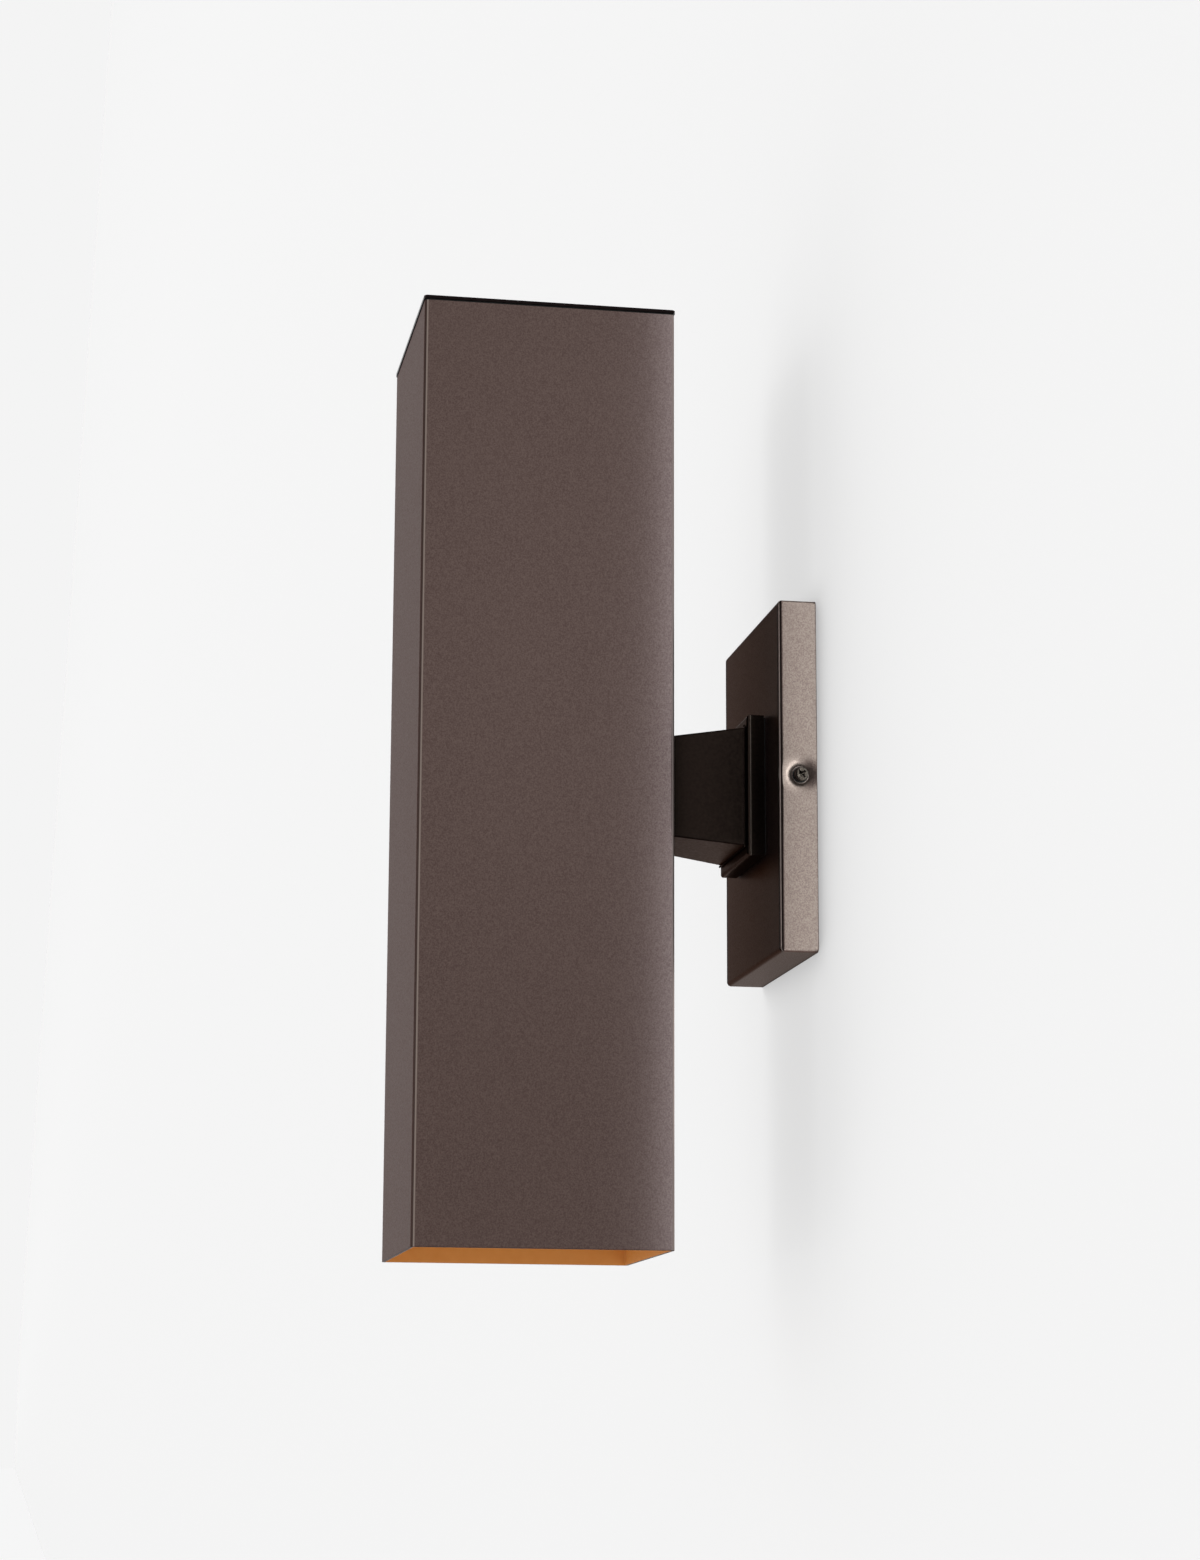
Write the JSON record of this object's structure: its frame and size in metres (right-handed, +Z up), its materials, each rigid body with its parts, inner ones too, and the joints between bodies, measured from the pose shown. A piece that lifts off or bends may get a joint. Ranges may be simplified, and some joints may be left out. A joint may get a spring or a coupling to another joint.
{
  "type": "outdoor wall sconce",
  "caption": "Square tube outdoor wall light on a flared arm and a rectangular wall plate, open below and glazed above, shining up and down.",
  "frame": {"origin": "middle of the wall plate's open back, on the wall, midway between the strap's two slots", "axes": "+Z up along the tube, +Y into the wall, +X to the right seen from the room"},
  "size_m": [0.1262, 0.1929, 0.4573],
  "materials": {
    "bronze_powder_coat": "satin metallic",
    "dark_bronze_paint": "satin",
    "black_paint": "satin",
    "tempered_glass": "polished",
    "lens_glass": "pebbled",
    "silvered_glass": "aluminised inside",
    "burner_glass": "frosted",
    "black_base_glass": "glossy",
    "lamp_base_metal": "rolled",
    "solder": "dull",
    "porcelain": "glazed",
    "brass": "pressed",
    "zinc_plated_steel": "zinc plated",
    "aluminium_rivet": "plain",
    "bronze_plated_screw": "dark bronze plated",
    "black_nylon": "moulded",
    "black_rubber": "matt",
    "grey_foam": "closed cell",
    "silicone": "matt",
    "green_screw": "green plated",
    "black_insulation": "extruded",
    "white_insulation": "extruded",
    "copper": "bare",
    "orange_plastic": "moulded"
  },
  "bodies": {
    "fixture": {"lamp_tube": "bronze_powder_coat", "wall_arm": "dark_bronze_paint", "arm_seals": "black_rubber", "wall_plate": "bronze_powder_coat", "bracket_screws": "zinc_plated_steel", "plate_screws": "zinc_plated_steel", "mounting_strap": "zinc_plated_steel", "ground_screw": "green_screw", "wall_gasket": "grey_foam", "holder_bracket": "zinc_plated_steel", "holder_screws": "zinc_plated_steel", "upper_holder_body": "porcelain", "upper_holder_shell": "brass", "upper_holder_contact": "brass", "lower_holder_body": "porcelain", "lower_holder_shell": "brass", "lower_holder_contact": "brass", "lead_bushings": "black_nylon", "black_leads": "black_insulation", "white_leads": "white_insulation", "wire_connectors": "orange_plastic", "ground_lead": "copper"},
    "top_cover": {"top_frame": "black_paint", "top_glass": "tempered_glass", "glass_seal": "silicone", "rim_gasket": "black_rubber", "cover_springs": "zinc_plated_steel", "spring_rivets": "aluminium_rivet"},
    "upper_lamp_carrier": {"upper_lamp_contact": "solder"},
    "upper_lamp": {"upper_lamp_insulator": "black_base_glass", "upper_lamp_base": "lamp_base_metal", "upper_lamp_reflector": "silvered_glass", "upper_lamp_burner": "burner_glass", "upper_lamp_lens": "lens_glass"},
    "lower_lamp_carrier": {"lower_lamp_contact": "solder"},
    "lower_lamp": {"lower_lamp_insulator": "black_base_glass", "lower_lamp_base": "lamp_base_metal", "lower_lamp_reflector": "silvered_glass", "lower_lamp_burner": "burner_glass", "lower_lamp_lens": "lens_glass"},
    "right_screw_carrier": {"right_screw_washer": "black_nylon"},
    "right_screw": {"right_side_screw": "bronze_plated_screw"},
    "left_screw_carrier": {"left_screw_washer": "black_nylon"},
    "left_screw": {"left_side_screw": "bronze_plated_screw"}
  },
  "joints": [
    {"name": "cover_lift", "type": "slide", "parent": "fixture", "child": "top_cover", "axis": [0, 0, 1], "range_m": [0, 0.03]},
    {"name": "upper_lamp_travel", "type": "slide", "parent": "fixture", "child": "upper_lamp_carrier", "axis": [0, 0, 1], "range_m": [0, 0.0218]},
    {"name": "upper_lamp_turn", "type": "hinge", "parent": "upper_lamp_carrier", "child": "upper_lamp", "pos_m": [0, -0.131, 0.044], "axis": [0, 0, 1], "range_deg": [0, 2160]},
    {"name": "lower_lamp_travel", "type": "slide", "parent": "fixture", "child": "lower_lamp_carrier", "axis": [0, 0, -1], "range_m": [0, 0.0218]},
    {"name": "lower_lamp_turn", "type": "hinge", "parent": "lower_lamp_carrier", "child": "lower_lamp", "pos_m": [0, -0.131, -0.044], "axis": [0, 0, -1], "range_deg": [0, 2160]},
    {"name": "right_screw_travel", "type": "slide", "parent": "fixture", "child": "right_screw_carrier", "axis": [1, 0, 0], "range_m": [0, 0.00794]},
    {"name": "right_screw_turn", "type": "hinge", "parent": "right_screw_carrier", "child": "right_screw", "pos_m": [0.0598, -0.00785, 0], "axis": [1, 0, 0], "range_deg": [0, 3960]},
    {"name": "left_screw_travel", "type": "slide", "parent": "fixture", "child": "left_screw_carrier", "axis": [-1, 0, 0], "range_m": [0, 0.00794]},
    {"name": "left_screw_turn", "type": "hinge", "parent": "left_screw_carrier", "child": "left_screw", "pos_m": [-0.0598, -0.00785, 0], "axis": [-1, 0, 0], "range_deg": [0, 3960]}
  ],
  "couplings": [
    {"joint": "upper_lamp_travel", "follows": "upper_lamp_turn", "m_per_rad": 0.00057757},
    {"joint": "lower_lamp_travel", "follows": "lower_lamp_turn", "m_per_rad": 0.00057757},
    {"joint": "right_screw_turn", "follows": "right_screw_travel", "rad_per_m": 7913.3},
    {"joint": "left_screw_turn", "follows": "left_screw_travel", "rad_per_m": 7913.3}
  ]
}
